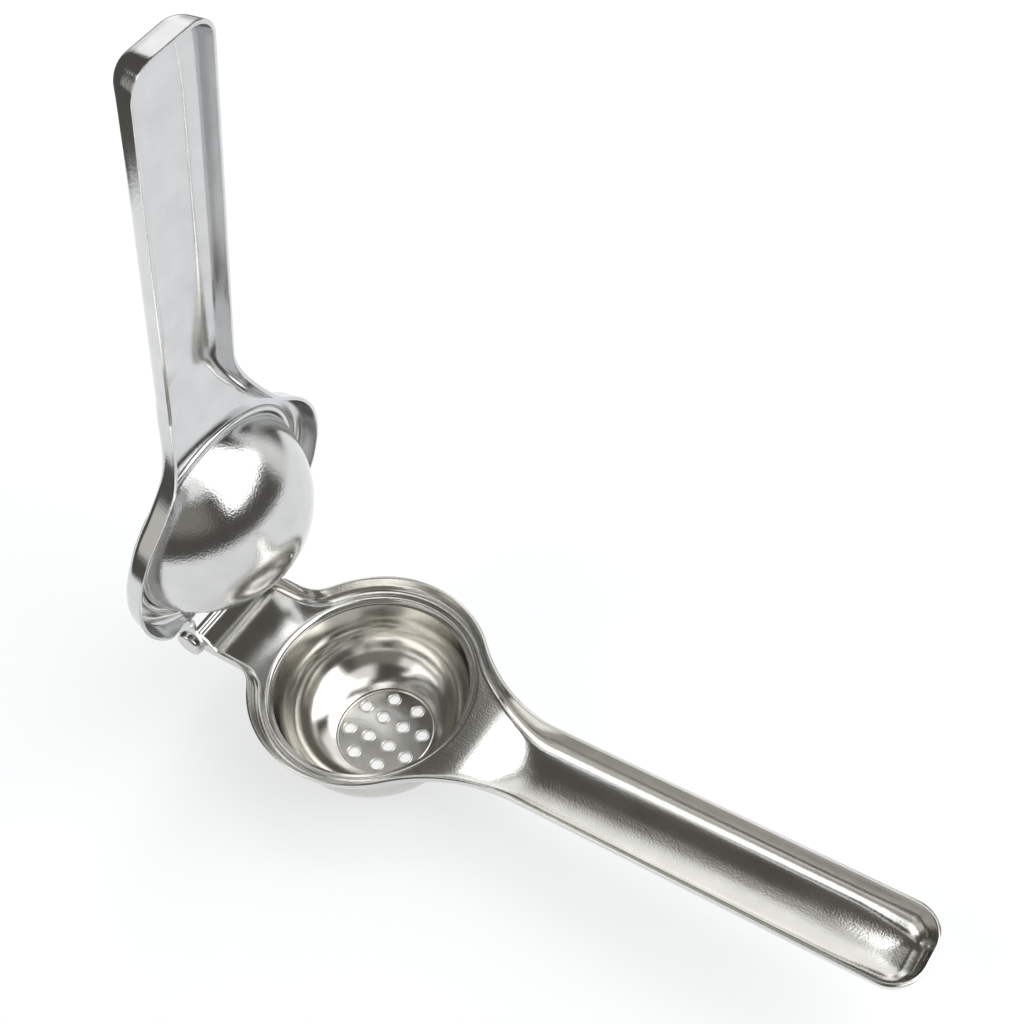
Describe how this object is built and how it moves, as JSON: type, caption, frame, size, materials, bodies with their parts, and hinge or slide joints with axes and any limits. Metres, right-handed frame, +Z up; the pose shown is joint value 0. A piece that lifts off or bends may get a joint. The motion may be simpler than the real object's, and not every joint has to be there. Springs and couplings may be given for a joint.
{
  "type": "hinged citrus squeezer",
  "caption": "Hand-held hinged squeezer in polished steel: a perforated cup on the lower arm and a domed press on the upper arm, joined by a rivet hinge.",
  "frame": {"origin": "centre of the strainer cup's outside bottom, on the surface the squeezer stands on", "axes": "+X along the lower handle, away from the hinge; +Y across the arms, parallel to the hinge rivet; +Z up along the cup's axis"},
  "size_m": [0.232, 0.0776, 0.2524],
  "materials": {
    "arm_steel": "mirror-polished stainless steel with fine wear",
    "cup_steel": "polished stainless steel",
    "dome_steel": "mirror-polished stainless steel",
    "rivet_steel": "plain bright steel"
  },
  "bodies": {
    "lower": {"lower_arm": "arm_steel", "strainer_cup": "cup_steel", "hinge_rivet": "rivet_steel", "near_washer": "rivet_steel", "far_washer": "rivet_steel"},
    "upper": {"upper_arm": "arm_steel", "press_dome": "dome_steel"}
  },
  "joints": [
    {"name": "arm_hinge", "type": "hinge", "parent": "lower", "child": "upper", "pos_m": [-0.0525, 0, 0.0341], "axis": [0, -1, 0], "range_deg": [-74, 100]}
  ]
}
